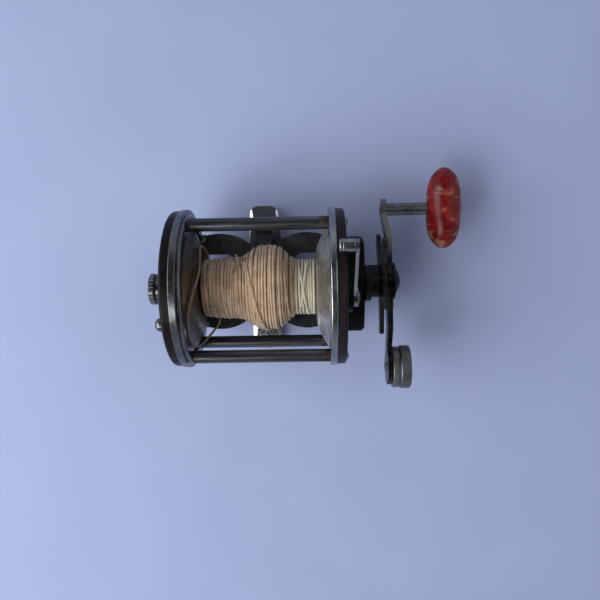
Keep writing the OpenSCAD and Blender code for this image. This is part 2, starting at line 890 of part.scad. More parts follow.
// Toothed disc with straight flanks
module toothed_disc(r_out, r_in, teeth, lean, h) {
    pitch = 360 / teeth;
    linear_extrude(h)
        polygon([
            for (i = [0 : teeth - 1], k = [0, 1])
                k == 0
                    ? [r_in * cos(i * pitch), r_in * sin(i * pitch)]
                    : [r_out * cos((i + lean) * pitch), r_out * sin((i + lean) * pitch)]
        ]);
}

module click_ratchet() {
    color(BRASS) difference() {
        on_axis(spool_end_l)
            toothed_disc(click_ratchet_r, click_ratchet_r - 1.8, click_ratchet_teeth, 0.5, click_ratchet_t);
        on_axis(spool_end_l - 1) cylinder(r = spool_hub_r + fixed_gap, h = click_ratchet_t + 2);
    }
}

// Radius of the wound line at a station along X
function ease(t) = let (u = min(1, max(0, t))) u * u * (3 - 2 * u);
hump_start = -11;
hump_rise = 12.5;
hump_end = 8;
hump_fall = 12;
function hump(x) = ease((x - hump_start) / hump_rise) * (1 - ease((x - hump_end) / hump_fall));
function base_r(x) = line_left_r + (line_right_r - line_left_r) * ease((x + 10) / 28)
    + 1.2 * ease((x + flange_x) / 16) * (1 - ease((x - 4) / 12));
function wound_r(x) = base_r(x) + (line_hump_r - base_r(x)) * hump(x);
function wound_slope(x) = (wound_r(x + 0.1) - wound_r(x - 0.1)) / 0.2;
function core_r(x) = wound_r(x) - line_d * (0.5 + 0.5 * sqrt(1 + pow(wound_slope(x), 2))) - 0.35;

// The lower layers of line, as one plain core
module line_core() {
    steps = 56;
    gap = flange_x - 0.05;
    color(LINE) on_axis(0) rotate_extrude()
        polygon([
            [8 + fixed_gap, gap],
            [8 + fixed_gap, -gap],
            for (i = [0 : steps])
                let (x = -gap + 2 * gap * i / steps) [core_r(x), x]
        ]);
}

// Swept tube: a ring of points about each path point, turned to the path
function unit(v) = v / norm(v);
function path_dir(p, i) = unit(p[min(i + 1, len(p) - 1)] - p[max(i - 1, 0)]);
function ring_points(p, i, ref, r, sides) =
    let (
        t = path_dir(p, i),
        b = unit(cross(t, ref)),
        n = cross(b, t)
    )
    [for (k = [0 : sides - 1]) p[i] + r * (cos(k * 360 / sides) * n + sin(k * 360 / sides) * b)];
function tube_faces(rings, sides) = [
    for (k = [1 : sides - 2]) [0, k + 1, k],
    for (i = [0 : rings - 2], k = [0 : sides - 1])
        let (a = i * sides + k, b = i * sides + (k + 1) % sides)
        each [[a, b, b + sides], [a, b + sides, a + sides]],
    for (k = [1 : sides - 2])
        let (e = (rings - 1) * sides)
        [e, e + k, e + k + 1]
];

module swept_tube(path, refs, r, sides) {
    polyhedron(
        points = [for (i = [0 : len(path) - 1]) each ring_points(path, i, refs[i], r, sides)],
        faces = tube_faces(len(path), sides),
        convexity = 10
    );
}

// Outer layer of line: one tube that starts and ends square to the flanges
loop_rings = 24;
turn_bend = 1.1;
turn_lead = line_d + turn_bend;
turn_half = flange_x - turn_lead - 0.1;
turn_rings = line_turns_n * loop_rings;
function turn_x(i) = -turn_half + 2 * turn_half * i / turn_rings;
function turn_point(x, a) =
    let (r = wound_r(x) - line_d / 2)
    [x, r * cos(a), axis_h + r * sin(a)];
function lead_point(side, bend) =
    let (
        x = side * (turn_half + turn_bend * (1 - cos(bend))),
        r = wound_r(side * turn_half) - line_d / 2,
        a = (side > 0 ? turn_rings * 360 / loop_rings : 0) + side * turn_bend * sin(bend) / r * 180 / PI
    )
    [x, r * cos(a), axis_h + r * sin(a)];
function turn_path() = [
    lead_point(-1, 90) - [line_d, 0, 0],
    lead_point(-1, 90) - [line_d / 2, 0, 0],
    for (b = [90, 60, 30]) lead_point(-1, b),
    for (i = [0 : turn_rings]) turn_point(turn_x(i), i * 360 / loop_rings),
    for (b = [30, 60, 90]) lead_point(1, b),
    lead_point(1, 90) + [line_d / 2, 0, 0],
    lead_point(1, 90) + [line_d, 0, 0]
];
function radial(p) = unit([0, p[1], p[2] - axis_h]);
function least_gap(p, d, apart, reach) = min([
    for (i = [0 : len(p) - 1 - apart], j = [i + apart : min(i + reach, len(p) - 1)]) norm(p[i] - p[j])
]) - d;

module line_turns() {
    path = turn_path();
    echo(line_turns_least_gap_mm = least_gap(path, line_d, 12, 60));
    color(LINE) swept_tube(path, [for (p = path) radial(p)], line_d / 2, 6);
}

// The strand that has slipped off the turns and lies against the left flange
function curve_at(p, i, t) =
    let (
        a = p[max(i - 1, 0)],
        b = p[i],
        c = p[min(i + 1, len(p) - 1)],
        d = p[min(i + 2, len(p) - 1)]
    )
    0.5 * (2 * b + (c - a) * t + (2 * a - 5 * b + 4 * c - d) * t * t + (3 * b - a - 3 * c + d) * t * t * t);
function strand_path() = [
    for (i = [0 : len(STRAND) - 2], k = [0 : strand_rings_per_step - 1])
        strand_point(curve_at(STRAND, i, k / strand_rings_per_step)),
    strand_point(STRAND[len(STRAND) - 1])
];
function strand_point(p) = [p[0] - flange_x, p[1] * strand_scale, axis_h + p[2] * strand_scale];

module loose_line() {
    path = strand_path();
    color(LINE) swept_tube(path, [for (p = path) [1, 0, 0]], strand_d / 2, 8);
}

// Crank, gears and drag

function inv_angle(a) = tan(a) * 180 / PI - a;
function tooth_half(teeth, r) =
    let (
        pitch_r = gear_module * teeth / 2,
        base = pitch_r * cos(pressure_angle),
        play = gear_play / 4 / pitch_r * 180 / PI
    )
    90 / teeth - play + inv_angle(pressure_angle) - inv_angle(acos(min(1, base / r)));
function gear_points(teeth) =
    let (
        pitch_r = gear_module * teeth / 2,
        root = pitch_r - tooth_ded,
        tip = pitch_r + tooth_add,
        radii = [root, pitch_r - 0.5 * tooth_ded, pitch_r, pitch_r + 0.5 * tooth_add, tip]
    )
    [
        for (i = [0 : teeth - 1], side = [-1, 1], k = [0 : 4])
            let (
                r = radii[side < 0 ? k : 4 - k],
                a = i * 360 / teeth + side * tooth_half(teeth, r)
            )
            [r * cos(a), r * sin(a)]
    ];

module gear_sleeve() {
    color(STEEL) difference() {
        union() {
            on_crank(sleeve_x) cylinder(r = sleeve_r, h = sleeve_end - sleeve_x);
            on_crank(sleeve_x) cylinder(r = ratchet_r - 2.5, h = sleeve_flange_t);
        }
        on_crank(sleeve_x - 1) cylinder(r = stud_r + run_gap, h = stud_end + 0.4 - sleeve_x + 1);
    }
}

module reverse_ratchet() {
    color(STEEL) difference() {
        on_crank(ratchet_x) toothed_disc(ratchet_r, ratchet_r - 1.7, 10, 0.85, ratchet_t);
        on_crank(ratchet_x - 1) cylinder(r = sleeve_r + fixed_gap, h = ratchet_t + 2);
    }
}

// A gap of the main gear faces the pinion
module main_gear() {
    color(BRASS) difference() {
        on_crank(gear_x) rotate(90 + 180 / main_teeth) linear_extrude(gear_w)
            polygon(gear_points(main_teeth));
        on_crank(gear_x - 1) cylinder(r = sleeve_r + fixed_gap, h = gear_w + 2);
        on_crank(gear_out - drag_stack) cylinder(r = drag_pocket_r, h = drag_stack + 1);
    }
}

module drag_washers() {
    color(FIBRE) {
        for (i = [0 : drag_washer_n - 1])
            on_crank(gear_out - drag_stack + i * drag_washer_t)
                tube(drag_pocket_r - 0.2, sleeve_r + fixed_gap, drag_washer_t - 0.02);
        on_crank(gear_x - under_washer_t)
            tube(ratchet_r - 2.5, sleeve_r + fixed_gap, under_washer_t);
    }
}

module spacer_sleeve() {
    color(STEEL) difference() {
        union() {
            on_crank(gear_out) cylinder(r = spacer_r, h = spacer_end - gear_out);
            on_crank(collar_x) rounded_band(0, collar_r, spacer_end - collar_x, 0.6);
        }
        on_crank(gear_out - 1) cylinder(r = sleeve_r + fixed_gap, h = spacer_end - gear_out + 2);
    }
}

module star_wheel() {
    color(STEEL) difference() {
        union() {
            on_crank(star_x) rounded_band(0, star_hub_r, star_hub_t, 0.6);
            for (i = [0 : 4])
                on_crank(star_x) rotate(180 + i * 72) linear_extrude(star_t) union() {
                    polygon([[0, -5.4], [star_r - 3.4, -3.1], [star_r - 3.4, 3.1], [0, 5.4]]);
                    translate([star_r - 3.4, 0]) circle(r = 3.4);
                }
        }
        on_crank(star_x - 1) cylinder(r = sleeve_r + run_gap, h = star_hub_t + 2);
    }
}

module arm_plan() {
    union() {
        circle(r = arm_hub_r);
        translate([crank_r, 0]) circle(r = boss_r);
        translate([-weight_r, 0]) circle(r = weight_end_r);
        polygon([
            [0, -arm_waist],
            [crank_r, -boss_r + 0.5],
            [crank_r, boss_r - 0.5],
            [0, arm_waist],
            [-weight_r, arm_waist - 1.6],
            [-weight_r, 1.6 - arm_waist]
        ]);
    }
}

function arm_shift(u) = -arm_bend * ease((u - bend_start) / (bend_end - bend_start))
    - weight_bend * ease((-u - weight_bend_start) / (weight_bend_end - weight_bend_start));

// Side view of the arm: flat, then bent towards the reel at the handle
module arm_side() {
    stations = [
        -weight_r - 20,
        for (i = [0 : bend_steps]) -weight_bend_end + (weight_bend_end - weight_bend_start) * i / bend_steps,
        for (i = [0 : bend_steps]) bend_start + (bend_end - bend_start) * i / bend_steps,
        crank_r + 20
    ];
    last = len(stations) - 1;
    polygon([
        for (u = stations) [u, arm_x + arm_shift(u)],
        for (i = [0 : last])
            let (u = stations[last - i]) [u, arm_out + arm_shift(u)]
    ]);
}

module crank_arm() {
    color(CHROME) difference() {
        on_crank(0) rotate(crank_rest) intersection() {
            translate([0, 0, arm_x - 10]) linear_extrude(arm_t + 20) arm_plan();
            rotate([90, 0, 0]) linear_extrude(60, center = true) arm_side();
        }
        on_crank(arm_x - 1) cylinder(r = sleeve_r + fixed_gap, h = arm_t + 2);
        on_spindle(boss_x - 1) cylinder(r = spindle_neck_r + fixed_gap, h = arm_t + 2);
        on_weight(weight_x - arm_t - 1) cylinder(r = rivet_r + fixed_gap, h = arm_t + 2);
        on_crank(arm_x - 1) rotate(crank_rest) translate([-nut_flange_r - 3, 0])
            cylinder(r = stand_screw_r + fixed_gap, h = arm_t + 2);
    }
}

// Six-sided nut on a round collar, closed at its outer end
module handle_nut() {
    color(CHROME) difference() {
        union() {
            on_crank(arm_out) rounded_disc(nut_flange_r, nut_flange_t, 0.5);
            on_crank(arm_out) intersection() {
                cylinder(d = nut_across / cos(30), h = nut_h, $fn = 6);
                domed_head(nut_across / 2 + 1, nut_h);
            }
        }
        on_crank(arm_out - 1) cylinder(r = sleeve_r + fixed_gap, h = sleeve_end - arm_out + 1.1);
    }
}

module lock_screw() {
    color(CHROME) on_crank(arm_out) rotate(crank_rest) translate([-nut_flange_r - 3, 0]) {
        domed_head(2.4, 1.5);
        mirror([0, 0, 1]) cylinder(r = stand_screw_r, h = arm_t);
    }
}

// Stepped pin: riveted in the arm, thin inside the knob, headed at its end
module handle_spindle() {
    color(CHROME) union() {
        on_spindle(boss_x + arm_t) cylinder(r = spindle_d / 2, h = spindle_free - 0.2);
        on_spindle(boss_x) cylinder(r = spindle_neck_r, h = knob_x + knob_d - boss_x);
        on_spindle(boss_x) mirror([0, 0, 1]) domed_head(spindle_neck_r + 1, 0.9);
    }
}

// Half outline of the knob: a long arc for the side, met by a round end
module knob_profile() {
    end_y = knob_len / 2 - knob_end_r;
    side_r = (pow(knob_d / 2, 2) + pow(end_y, 2) - pow(knob_end_r, 2)) / (knob_d - 2 * knob_end_r);
    side_x = knob_d / 2 - side_r;
    meet = atan2(end_y, -side_x);
    meet_y = side_r * sin(meet);
    union() {
        intersection() {
            translate([side_x, 0]) circle(r = side_r);
            translate([0, -meet_y]) square([knob_d, 2 * meet_y]);
        }
        for (end = [-1, 1])
            intersection() {
                translate([0, end * end_y]) circle(r = knob_end_r);
                translate([0, end > 0 ? meet_y : -knob_len]) square([knob_d, knob_len - meet_y]);
            }
    }
}

// Barrel across the spindle
module handle_knob() {
    color("#b5382f") difference() {
        translate([knob_mid_x, spindle_y, spindle_h]) rotate([-90, 0, 0])
            rotate_extrude() knob_profile();
        on_spindle(knob_x - 1) cylinder(r = spindle_neck_r + run_gap, h = knob_d + 2);
    }
}

// Two discs with a groove between them
module counterweight() {
    groove_x = 3;
    groove_w = 0.7;
    color(CHROME) difference() {
        on_weight(weight_x) union() {
            rounded_band(0, weight_d / 2 - 0.5, groove_x, 0.5);
            translate([0, 0, groove_x - 0.6]) cylinder(r = weight_d / 2 - 1.2, h = groove_w + 1.2);
            translate([0, 0, groove_x + groove_w])
                rounded_band(0, weight_d / 2, weight_w - groove_x - groove_w, 0.9);
        }
        on_weight(weight_x - 1) cylinder(r = rivet_r + fixed_gap, h = weight_w - 1);
    }
}

module counterweight_rivet() {
    color(CHROME) union() {
        on_weight(weight_x - arm_t) mirror([0, 0, 1]) domed_head(rivet_head_r, 1.3);
        on_weight(weight_x - arm_t) cylinder(r = rivet_r, h = arm_t + weight_w - 2.2);
    }
}

// Clutch lever, yoke and pinion

// Arm with its hub, shaft and the jack that lifts the yoke
module lever_arm() {
    color(CHROME) union() {
        on_lever(jack_x) cylinder(r = lever_shaft_r, h = lever_hub_end - jack_x);
        on_lever(jack_x) cylinder(r = jack_r, h = jack_t);
        on_lever(lever_hub_x) rounded_band(0, lever_hub_r, lever_hub_end - lever_hub_x, 0.5);
        on_lever(lever_arm_x) rotate(lever_rest) linear_extrude(lever_arm_t) union() {
            polygon([[0, -3], [lever_len, -1.9], [lever_len, 1.9], [0, 3]]);
            translate([lever_len, 0]) circle(r = lever_knob_d / 2 - 0.1);
        }
    }
}

// Round grip that overhangs the rim, with a bead at its free end
module lever_knob() {
    grip = lever_knob_len - 0.01;
    color(CHROME) on_lever(lever_knob_x) rotate(lever_rest) translate([lever_len, 0]) union() {
        rounded_band(0, lever_knob_d / 2, grip, 0.7);
        translate([0, 0, 1.6]) rounded_band(0, lever_knob_d / 2 + 0.2, 1, 0.3);
    }
}

module lever_screw() {
    color(CHROME) on_lever(lever_hub_end) difference() {
        domed_head(3.4, 1.2);
        translate([-5, -0.35, 0.6]) cube([10, 0.7, 2]);
    }
}

// Fork in the groove of the pinion, with an eye for each post and a tongue for the jack
module yoke() {
    color(STEEL) difference() {
        on_axis(yoke_x) linear_extrude(yoke_t) difference() {
            union() {
                circle(r = groove_r + 2);
                translate([-yoke_post_y, yoke_post_z - 2.4]) square([2 * yoke_post_y, 4.8]);
                for (side = [-1, 1])
                    translate([side * yoke_post_y, yoke_post_z]) circle(r = 2.4);
                translate([lever_y - 3, 2]) square([6, lever_z - lever_shaft_r - 0.5 - 2]);
            }
            circle(r = groove_r + pass_gap);
            translate([-groove_r - pass_gap, -20]) square([2 * (groove_r + pass_gap), 20]);
        }
        for (side = [-1, 1])
            on_axis(yoke_x - 1) translate([side * yoke_post_y, yoke_post_z])
                cylinder(r = yoke_post_r + run_gap, h = yoke_t + 2);
    }
}

// Compressed springs on the posts
module yoke_springs() {
    wire = 0.5;
    coil_r = yoke_post_r + 0.75;
    turns = 4;
    rings = 8;
    pitch = 1;
    color(STEEL) for (side = [-1, 1])
        let (
            path = [
                for (i = [0 : turns * rings])
                    [
                        yoke_x + yoke_t + wire / 2 + 0.05 + pitch * i / rings,
                        side * yoke_post_y + coil_r * cos(i * 360 / rings),
                        axis_h + yoke_post_z + coil_r * sin(i * 360 / rings)
                    ]
            ]
        )
        swept_tube(path, [for (p = path) [1, 0, 0]], wire / 2, 6);
}

// Pinion: slotted collar, groove for the yoke, then the teeth, one facing the main gear
module pinion() {
    color(BRASS) difference() {
        union() {
            on_axis(bridge_x + 0.1) cylinder(r = 5, h = bridge_t - 0.1);
            on_axis(bridge_x + 0.1) cylinder(r = groove_r, h = groove_end - bridge_x);
            on_axis(groove_end) rotate(-90) linear_extrude(pinion_len)
                polygon(gear_points(pinion_teeth));
        }
        on_axis(bridge_x - 1) cylinder(r = shaft_r + run_gap, h = 30);
        on_axis(bridge_x - 1) translate([-10, -dog_bar_w / 2 - 0.1, 0])
            cube([20, dog_bar_w + 0.2, dog_bar_x + 1.6 + 0.2 - bridge_x + 1]);
    }
}

// Click, dog and caps

module click_button() {
    color(CHROME) union() {
        on_axis(plate_out_l - pass_gap) at_polar(click_r, click_angle) mirror([0, 0, 1])
            rounded_disc(click_d / 2, click_head_h, click_d / 2 - 0.6);
        on_axis(plate_out_l - pass_gap) at_polar(click_r, click_angle)
            cylinder(r = click_stem_r, h = click_pawl_x - plate_out_l + pass_gap);
    }
}

module click_pawl() {
    color(STEEL) on_axis(click_pawl_x) rotate(click_angle) union() {
        translate([click_r, 0, 0]) cylinder(r = 2, h = click_pawl_t);
        linear_extrude(click_pawl_t)
            polygon([
                [click_r, -1.8],
                [click_tip_r + 2, -1.8],
                [click_tip_r, -0.4],
                [click_tip_r, 0.4],
                [click_tip_r + 2, 1.8],
                [click_r, 1.8]
            ]);
    }
}

module reverse_dog() {
    tip_r = ratchet_r + 1.7;
    tip_a = -34;
    tip = [tip_r * cos(tip_a), tip_r * sin(tip_a)];
    color(STEEL) difference() {
        on_crank(ratchet_x) rotate(dog_angle) union() {
            translate([dog_pivot_r, 0, 0]) cylinder(r = 2.5, h = dog_t);
            linear_extrude(dog_t)
                polygon([
                    [dog_pivot_r - 1, 2],
                    [dog_pivot_r + 2, -1.4],
                    tip + [0.6, -0.8],
                    tip + [-0.7, -0.2],
                    tip + [-0.4, 0.5]
                ]);
        }
        on_crank(ratchet_x - 1) at_polar(dog_pivot_r, dog_angle)
            cylinder(r = dog_pin_r + run_gap, h = dog_t + 2);
    }
}

module left_bearing_cap() {
    color(CHROME) difference() {
        union() {
            on_axis(left_rim_x - left_cap_w) fluted_disc(left_cap_d / 2, left_cap_w, 0.7);
            on_axis(left_rim_x - 0.5) cylinder(r = left_neck_r, h = left_boss_x - pass_gap - left_rim_x + 0.5);
        }
        on_axis(left_stub_x - pass_gap) cylinder(r = stub_r + run_gap, h = 20);
    }
}

module right_bearing_cap() {
    color(STEEL) difference() {
        on_axis(case_out + pass_gap) fluted_disc(right_cap_d / 2, right_cap_w, 0.8);
        on_axis(case_out - 1) cylinder(r = stub_r + run_gap, h = right_stub_x + pass_gap - case_out + 1);
    }
}

left_side_plate();
right_side_plate();
left_ring();
left_inner_ring();
right_ring();
pillar(pillar_angles[0]);  // front_upper_pillar
pillar(pillar_angles[1]);  // rear_upper_pillar
pillar(pillar_angles[2]);  // front_lower_pillar
pillar(pillar_angles[3]);  // rear_lower_pillar
left_plate_screws();
right_plate_screws();
stand();
stand_screws();
foot();
foot_rivets();
left_bearing_bush();
right_bearing_bush();
bridge_plate();
bridge_screws();
gear_stud();
yoke_posts();
dog_pin();
dog_spring();
click_spring();
spool();
spool_shaft();
click_ratchet();
line_core();
line_turns();
loose_line();
gear_sleeve();
reverse_ratchet();
main_gear();
drag_washers();
spacer_sleeve();
crank_arm();
handle_nut();
lock_screw();
handle_spindle();
counterweight();
counterweight_rivet();
star_wheel();
handle_knob();
lever_arm();
lever_knob();
lever_screw();
yoke();
yoke_springs();
pinion();
click_button();
click_pawl();
reverse_dog();
left_bearing_cap();
right_bearing_cap();
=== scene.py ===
"""Conventional fishing reel seen from above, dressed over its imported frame."""
import math
import random

import bmesh
import bpy
from mathutils import Euler, Matrix, Vector


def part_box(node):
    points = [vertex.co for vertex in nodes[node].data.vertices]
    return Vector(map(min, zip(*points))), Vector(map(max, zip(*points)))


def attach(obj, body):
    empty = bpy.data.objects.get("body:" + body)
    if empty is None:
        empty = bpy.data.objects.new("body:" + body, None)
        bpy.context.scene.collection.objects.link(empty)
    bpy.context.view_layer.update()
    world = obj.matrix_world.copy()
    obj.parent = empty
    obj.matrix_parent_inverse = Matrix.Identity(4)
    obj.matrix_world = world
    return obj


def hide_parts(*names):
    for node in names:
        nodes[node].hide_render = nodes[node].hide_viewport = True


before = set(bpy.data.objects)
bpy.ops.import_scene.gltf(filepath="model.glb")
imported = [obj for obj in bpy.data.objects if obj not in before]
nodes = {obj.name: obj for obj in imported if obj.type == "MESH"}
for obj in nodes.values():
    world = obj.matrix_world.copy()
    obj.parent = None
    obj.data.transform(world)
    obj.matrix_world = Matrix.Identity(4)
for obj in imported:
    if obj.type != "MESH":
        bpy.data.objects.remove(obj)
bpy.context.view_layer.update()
scene = bpy.context.scene
MM = 0.001
# Height of the spool axis over the underside of the foot, in millimetres
AXIS_H = 45.0


def link(obj):
    scene.collection.objects.link(obj)
    return obj


# Camera at the photograph's viewing angle
VIEW_TURN = Euler((math.radians(9.0), math.radians(-1.37), math.radians(1.0)), "XYZ").to_matrix()
VIEW_SHIFT = Vector((-20.5, 6.45, -306.5))
# Half the width of the view at a distance of one, and the nearest place that it shows, in metres
HALF_FRAME = 0.5
NEAREST = 0.01
camera_data = bpy.data.cameras.new("camera")
camera_data.sensor_fit = "HORIZONTAL"
camera_data.angle = 2 * math.atan(HALF_FRAME)
camera_data.clip_start = NEAREST
camera = link(bpy.data.objects.new("camera", camera_data))
camera.matrix_world = VIEW_TURN.transposed().to_4x4()
camera.location = (VIEW_TURN.transposed() @ (-VIEW_SHIFT) + Vector((0, 0, AXIS_H))) * MM
scene.camera = camera


# Mesh helpers
def smooth(mesh):
    for poly in mesh.polygons:
        poly.use_smooth = True


def mesh_object(name, verts, faces, uvs=None):
    mesh = bpy.data.meshes.new(name)
    mesh.from_pydata(verts, [], faces)
    if uvs:
        layer = mesh.uv_layers.new(name="UVMap")
        for poly in mesh.polygons:
            for loop, uv in zip(poly.loop_indices, uvs[poly.index]):
                layer.data[loop].uv = uv
    mesh.update()
    smooth(mesh)
    return link(bpy.data.objects.new(name, mesh))


def ring_band(here, there, count):
    """Faces between two rings of count vertices, which start at the indices here and there."""
    steps = [(k, (k + 1) % count) for k in range(count)]
    return [(here + k, here + j, there + j, there + k) for k, j in steps]


def on_drum(x, r, turn):
    """The point in millimetres at a distance r from the spool axis."""
    return Vector((x, r * math.cos(turn), AXIS_H + r * math.sin(turn)))


def radial(p):
    """The direction from the spool axis to a point."""
    return Vector((0, p.y, p.z - AXIS_H))


class TubeSet:
    """Tubes swept along paths in millimetres, gathered into one mesh with a length coordinate."""

    SIDES = 8

    def __init__(self):
        self.verts, self.faces, self.uvs = [], [], []

    def add(self, path, radius, up):
        """Adds a closed tube, whose section stands on the direction that up gives at each point."""
        start, n, last = len(self.verts), self.SIDES, len(path) - 1
        run = [0.0]
        for a, b in zip(path, path[1:]):
            run.append(run[-1] + (b - a).length)
        for i, p in enumerate(path):
            ahead = (path[min(i + 1, last)] - path[max(i - 1, 0)]).normalized()
            side = ahead.cross(up(p)).normalized()
            normal = side.cross(ahead)
            for k in range(n):
                turn = 2 * math.pi * k / n
                self.verts.append((p + radius * (math.cos(turn) * normal + math.sin(turn) * side)) * MM)
        for i in range(last):
            self.faces += ring_band(start + i * n, start + (i + 1) * n, n)
            u0, u1 = run[i], run[i + 1]
            for v0, v1 in ((k / n, (k + 1) / n) for k in range(n)):
                self.uvs.append(((u0, v0), (u0, v1), (u1, v1), (u1, v0)))
        for ring, order in ((0, -1), (last, 1)):
            first = start + ring * n
            self.faces.append(tuple(range(first, first + n))[::order])
            self.uvs.append(((run[ring], 0.0),) * n)

    def build(self, name):
        return mesh_object(name, self.verts, self.faces, self.uvs)


def smooth_path(points, steps):
    """Catmull-Rom curve through the points."""
    pts = [Vector(p) for p in points]
    last = len(pts) - 1
    out = []
    for i in range(last):
        a, b, c, d = pts[max(i - 1, 0)], pts[i], pts[i + 1], pts[min(i + 2, last)]
        for k in range(steps):
            t = k / steps
            out.append(0.5 * (2 * b + (c - a) * t + (2 * a - 5 * b + 4 * c - d) * t * t
                              + (3 * b - a - 3 * c + d) * t * t * t))
    out.append(pts[-1])
    return out


# The loose strand on the left flange: X, Y and height over the spool axis, in millimetres
STRAND = [
    (-21, -15.8, 0.5), (-21.5, -18.4, 0.5), (-24, -21.6, 0.8), (-27, -25, 2), (-29.6, -27.6, 5),
    (-31.3, -28.4, 9.5), (-32.2, -26.4, 15), (-32.4, -22.4, 20.4), (-32.4, -17.4, 24.4),
    (-32.2, -11.6, 27.2), (-31.3, -6.4, 27.6), (-30.3, -1.8, 26.2), (-29.2, 2.6, 24.2),
    (-28, 6.6, 21.6), (-27.3, 10.4, 18.6), (-27.3, 14, 16), (-27.6, 17.4, 13.2), (-28, 20.4, 9.8),
    (-28.2, 21.8, 6), (-27.4, 21, 3), (-26.2, 18.6, 1.6), (-25.6, 15.8, 1.2),
]
STRAND_D = 1.2
STRAND_STEPS = 6
strand_path = [p + Vector((0, 0, AXIS_H)) for p in smooth_path(STRAND, STRAND_STEPS)]
strand_set = TubeSet()
strand_set.add(strand_path, STRAND_D / 2, lambda p: Vector((1, 0, 0)))
strand = strand_set.build("loose_strand")
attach(strand, "spool")
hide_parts("loose_line")


# Material helpers
class Shade:
    """A principled material and the nodes that feed it."""

    def __init__(self, name, **sockets):
        self.mat = bpy.data.materials.new(name)
        self.mat.use_nodes = True
        self.tree = self.mat.node_tree
        self.bsdf = self.tree.nodes["Principled BSDF"]
        for key, value in sockets.items():
            self.bsdf.inputs[key.replace("_", " ")].default_value = value

    def node(self, kind, **inputs):
        n = self.tree.nodes.new(kind)
        for key, value in inputs.items():
            self.put(n.inputs[key.replace("_", " ")], value)
        return n

    def put(self, socket, value):
        if isinstance(value, bpy.types.NodeSocket):
            self.tree.links.new(value, socket)
        else:
            socket.default_value = value

    def place(self):
        return self.node("ShaderNodeTexCoord").outputs["Object"]

    def along(self, vector, axis):
        return self.node("ShaderNodeSeparateXYZ", Vector=vector).outputs[axis]

    def stretched(self, vector, scale, rotation=(0, 0, 0)):
        return self.node("ShaderNodeMapping", Vector=vector, Scale=scale, Rotation=rotation).outputs["Vector"]

    def noise(self, vector, scale, detail=4.0, rough=0.55, distort=0.0):
        n = self.node("ShaderNodeTexNoise", Vector=vector, Scale=scale, Detail=detail,
                      Roughness=rough, Distortion=distort)
        return n.outputs["Fac"]

    def ramp(self, fac, *stops):
        n = self.node("ShaderNodeValToRGB", Fac=fac)
        elements = n.color_ramp.elements
        while len(elements) < len(stops):
            elements.new(0.5)
        for element, (position, colour) in zip(elements, stops):
            element.position = position
            element.color = (*colour, 1)
        return n.outputs["Color"]

    def span(self, value, source, target):
        """Maps the range source to the range target, and holds the ends."""
        n = self.node("ShaderNodeMapRange", Value=value)
        for key, v in zip(("From Min", "From Max", "To Min", "To Max"), (*source, *target)):
            n.inputs[key].default_value = v
        return n.outputs["Result"]

    def math(self, op, a, b=0.0):
        n = self.tree.nodes.new("ShaderNodeMath")
        n.operation = op
        self.put(n.inputs[0], a)
        self.put(n.inputs[1], b)
        return n.outputs[0]

    def add(self, a, b):
        return self.math("ADD", a, b)

    def times(self, a, b):
        return self.math("MULTIPLY", a, b)

    def weigh(self, a, share_a, b, share_b):
        return self.add(self.times(a, share_a), self.times(b, share_b))

    def mix(self, fac, base, tint):
        n = self.tree.nodes.new("ShaderNodeMix")
        n.data_type = "RGBA"
        self.put(n.inputs["Factor"], fac)
        self.put(n.inputs["A"], base)
        self.put(n.inputs["B"], (*tint, 1))
        return n.outputs["Result"]

    def bump(self, height, distance):
        n = self.node("ShaderNodeBump", Height=height, Distance=distance, Strength=1.0)
        self.put(self.bsdf.inputs["Normal"], n.outputs["Normal"])

    def colour(self, value):
        self.put(self.bsdf.inputs["Base Color"], value)

    def rough(self, value):
        self.put(self.bsdf.inputs["Roughness"], value)


# The range in which most values of a noise lie
NOISE = (0.3, 0.7)


def worn_metal(name, dark, light, stain, rough=(0.22, 0.5), stain_from=0.62, grain=0.000015, darkening=None):
    """Tarnished plating: cloudy grey, brown stains and a fine scratched grain.

    darkening is a tint laid over the colour, as axis, fold, plain_at, dark_at and tint: it grows from the
    place plain_at to the place dark_at along the axis, and the fold ABSOLUTE makes both sides of the origin
    alike.
    On the spool and the foot it is painted shade; on the crank arm it darkens the lower end.
    """
    s = Shade(name, Metallic=1.0)
    at = s.place()
    cloud = s.noise(at, scale=110, detail=6, rough=0.65, distort=0.4)
    fine = s.noise(at, scale=700, detail=4, rough=0.6)
    patch = s.noise(at, scale=170, detail=7, rough=0.7, distort=0.8)
    base = s.ramp(s.weigh(cloud, 0.8, fine, 0.2), (0.32, dark), (0.68, light))
    if darkening:
        axis, fold, plain_at, dark_at, tint = darkening
        place = s.math(fold, s.along(at, axis))
        dark_share = s.times(s.span(place, (plain_at, dark_at), (0, 1)), s.span(cloud, (0.25, 0.6), (1.0, 0.86)))
        base = s.mix(dark_share, base, tint)
    mask = s.span(patch, (stain_from, stain_from + 0.1), (0, 0.85))
    s.colour(s.mix(mask, base, stain))
    s.rough(s.add(s.span(fine, NOISE, rough), s.times(mask, 0.25)))
    s.bump(s.add(fine, mask), grain)
    return s.mat


def end_rust(name, dark, light, stain, near, far):
    """Streaky plating on a rod along X, rusty from near to far, where it meets its neighbours."""
    s = Shade(name, Metallic=1.0)
    at = s.place()
    reach = s.span(s.math("ABSOLUTE", s.along(at, "X")), (near, far), (0, 1))
    streak_at = s.stretched(at, (0.06, 1, 1))
    cloud = s.noise(streak_at, scale=260, detail=4, rough=0.55, distort=0.3)
    fine = s.noise(streak_at, scale=1500, detail=3, rough=0.6)
    patch = s.noise(at, scale=260, detail=7, rough=0.7)
    base = s.ramp(s.weigh(cloud, 0.75, fine, 0.25), (0.3, dark), (0.7, light))
    mask = s.span(s.add(s.times(reach, 0.55), patch), (0.68, 0.92), (0, 0.9))
    s.colour(s.mix(mask, base, stain))
    s.rough(s.add(s.span(fine, NOISE, (0.26, 0.38)), s.times(mask, 0.35)))
    s.bump(s.add(fine, mask), 0.000012)
    return s.mat


